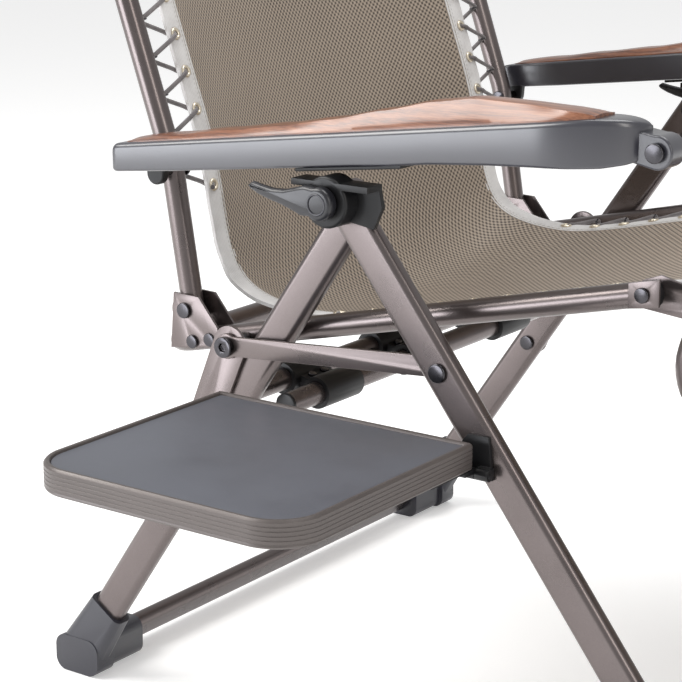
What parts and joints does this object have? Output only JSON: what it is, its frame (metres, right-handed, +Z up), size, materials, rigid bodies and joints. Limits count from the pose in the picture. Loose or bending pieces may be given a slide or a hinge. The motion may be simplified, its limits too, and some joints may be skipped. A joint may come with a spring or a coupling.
{
  "type": "zero gravity recliner",
  "caption": "Folding outdoor recliner with a laced mesh sling, tubular crossed-leg frame, wood-topped armrests with cam locks, padded headrest, swinging leg rest and a clip-on side table.",
  "frame": {"origin": "centre of the bounding box's footprint, on the floor the feet stand on", "axes": "+X forward the way the sitter faces, +Y to the sitter's left, +Z up"},
  "size_m": [0.989, 0.947, 1.056],
  "materials": {
    "powder_coat": "satin metallic powder coat",
    "steel": "dark zinc",
    "charcoal_plastic": "semi gloss moulded",
    "slate_plastic": "matte moulded",
    "wood": "gloss varnish",
    "mesh": "woven mesh",
    "binding": "woven tape",
    "cord": "braided elastic cord",
    "table_top": "fine texture",
    "table_edge": "ribbed moulding",
    "pillow": "padded"
  },
  "bodies": {
    "front_legs": {"front_leg_right": "powder_coat", "front_leg_left": "powder_coat", "front_floor_bar": "powder_coat", "front_foot_right": "slate_plastic", "front_foot_left": "slate_plastic", "apex_bolts": "steel", "cam_barrel_right": "charcoal_plastic", "cam_barrel_left": "charcoal_plastic", "link_pivot_rivets": "steel", "table_bracket": "charcoal_plastic"},
    "rear_legs": {"rear_leg_right": "powder_coat", "rear_leg_left": "powder_coat", "rear_floor_bar": "powder_coat", "rear_foot_right": "slate_plastic", "rear_foot_left": "slate_plastic", "mid_crossbar_upper": "powder_coat", "mid_crossbar_lower": "powder_coat", "crossbar_clamps": "charcoal_plastic", "clamp_screws": "steel", "crossbar_plugs": "charcoal_plastic", "lever_pivot_rivets": "steel"},
    "link_bars": {"link_bar_right": "powder_coat", "link_bar_left": "powder_coat", "link_end_bolts": "steel"},
    "lever_arms": {"lever_arm_right": "powder_coat", "lever_arm_left": "powder_coat"},
    "seat_pins": {"seat_pivot_bolts": "steel"},
    "seat_frame": {"seat_frame_tube": "powder_coat", "seat_tube_plugs": "charcoal_plastic", "hinge_plates_outer": "powder_coat", "hinge_plates_inner": "powder_coat", "front_bracket_plates": "powder_coat", "hinge_plate_rivets": "steel", "seat_sling": "mesh", "seat_binding": "binding", "seat_lacing": "cord"},
    "back_pins": {"back_hinge_rivets": "steel"},
    "back_frame": {"back_frame_tube": "powder_coat", "back_sling": "mesh", "back_binding": "binding", "back_lacing": "cord", "headrest_pillow": "pillow"},
    "arm_pins": {"arm_pivot_bolts": "steel"},
    "armrests": {"armrest_casing_right": "charcoal_plastic", "armrest_casing_left": "charcoal_plastic", "armrest_wood_right": "wood", "armrest_wood_left": "wood", "slide_rails": "steel", "arm_front_bolts": "steel"},
    "foot_pins": {"foot_pivot_rivets": "steel"},
    "footrest": {"footrest_frame_tube": "powder_coat", "foot_sling": "mesh"},
    "side_table": {"table_board": "table_top", "table_rim": "table_edge", "table_hinge_plate": "charcoal_plastic"},
    "cam_lever_right_body": {"cam_lever_right": "slate_plastic"},
    "cam_lever_left_body": {"cam_lever_left": "slate_plastic"}
  },
  "joints": [
    {"name": "legs_fold", "type": "hinge", "parent": "front_legs", "child": "rear_legs", "pos_m": [-0.0725, 0.1095, 0.494], "axis": [0, -1, 0], "range_deg": [0, 50]},
    {"name": "lever_swing", "type": "hinge", "parent": "rear_legs", "child": "lever_arms", "pos_m": [-0.2605, 0.1095, 0.216], "axis": [0, -1, 0], "range_deg": [0, 53.8]},
    {"name": "link_swing", "type": "hinge", "parent": "front_legs", "child": "link_bars", "pos_m": [0.0225, 0.1095, 0.3692], "axis": [0, -1, 0], "range_deg": [0, 51.4]},
    {"name": "seat_pivot_fold", "type": "hinge", "parent": "lever_arms", "child": "seat_pins", "pos_m": [-0.2035, 0.1095, 0.352], "axis": [0, -1, 0], "range_deg": [-38.1, 0]},
    {"name": "seat_tilt", "type": "hinge", "parent": "seat_pins", "child": "seat_frame", "pos_m": [-0.2035, 0.1095, 0.352], "axis": [0, -1, 0], "range_deg": [-1.5, 11.9]},
    {"name": "back_fold", "type": "hinge", "parent": "seat_frame", "child": "back_pins", "pos_m": [-0.2705, 0.1095, 0.369], "axis": [0, -1, 0], "range_deg": [-66.8, 0]},
    {"name": "back_recline", "type": "hinge", "parent": "back_pins", "child": "back_frame", "pos_m": [-0.2705, 0.1095, 0.369], "axis": [0, -1, 0], "range_deg": [0, 38]},
    {"name": "arm_fold", "type": "hinge", "parent": "back_frame", "child": "arm_pins", "pos_m": [-0.2885, 0.1095, 0.491], "axis": [0, -1, 0], "range_deg": [0, 66.8]},
    {"name": "arm_level", "type": "hinge", "parent": "arm_pins", "child": "armrests", "pos_m": [-0.2885, 0.1095, 0.491], "axis": [0, -1, 0], "range_deg": [-39.6, 1.5]},
    {"name": "foot_fold", "type": "hinge", "parent": "seat_frame", "child": "foot_pins", "pos_m": [0.2135, 0.1095, 0.437], "axis": [0, -1, 0], "range_deg": [-66.8, 0]},
    {"name": "foot_swing", "type": "hinge", "parent": "foot_pins", "child": "footrest", "pos_m": [0.2135, 0.1095, 0.437], "axis": [0, -1, 0], "range_deg": [-1.5, 39.6]},
    {"name": "table_fold", "type": "hinge", "parent": "front_legs", "child": "side_table", "pos_m": [0.0565, -0.2301, 0.2965], "axis": [1, 0, 0], "range_deg": [0, 85]},
    {"name": "cam_lever_right_turn", "type": "hinge", "parent": "front_legs", "child": "cam_lever_right_body", "pos_m": [-0.0725, -0.2465, 0.498], "axis": [0, -1, 0], "range_deg": [0, 90]},
    {"name": "cam_lever_left_turn", "type": "hinge", "parent": "front_legs", "child": "cam_lever_left_body", "pos_m": [-0.0725, 0.4655, 0.498], "axis": [0, -1, 0], "range_deg": [0, 90]}
  ],
  "couplings": [
    {"joint": "lever_swing", "follows": "legs_fold", "ratio": 1.0735},
    {"joint": "link_swing", "follows": "legs_fold", "ratio": 1.0253},
    {"joint": "seat_pivot_fold", "follows": "legs_fold", "ratio": -0.75967},
    {"joint": "back_fold", "follows": "legs_fold", "ratio": -1.3333},
    {"joint": "arm_fold", "follows": "legs_fold", "ratio": 1.3333},
    {"joint": "foot_fold", "follows": "legs_fold", "ratio": -1.3333},
    {"joint": "seat_tilt", "follows": "back_recline", "ratio": 0.272},
    {"joint": "arm_level", "follows": "back_recline", "ratio": -1},
    {"joint": "foot_swing", "follows": "back_recline", "ratio": 1}
  ]
}
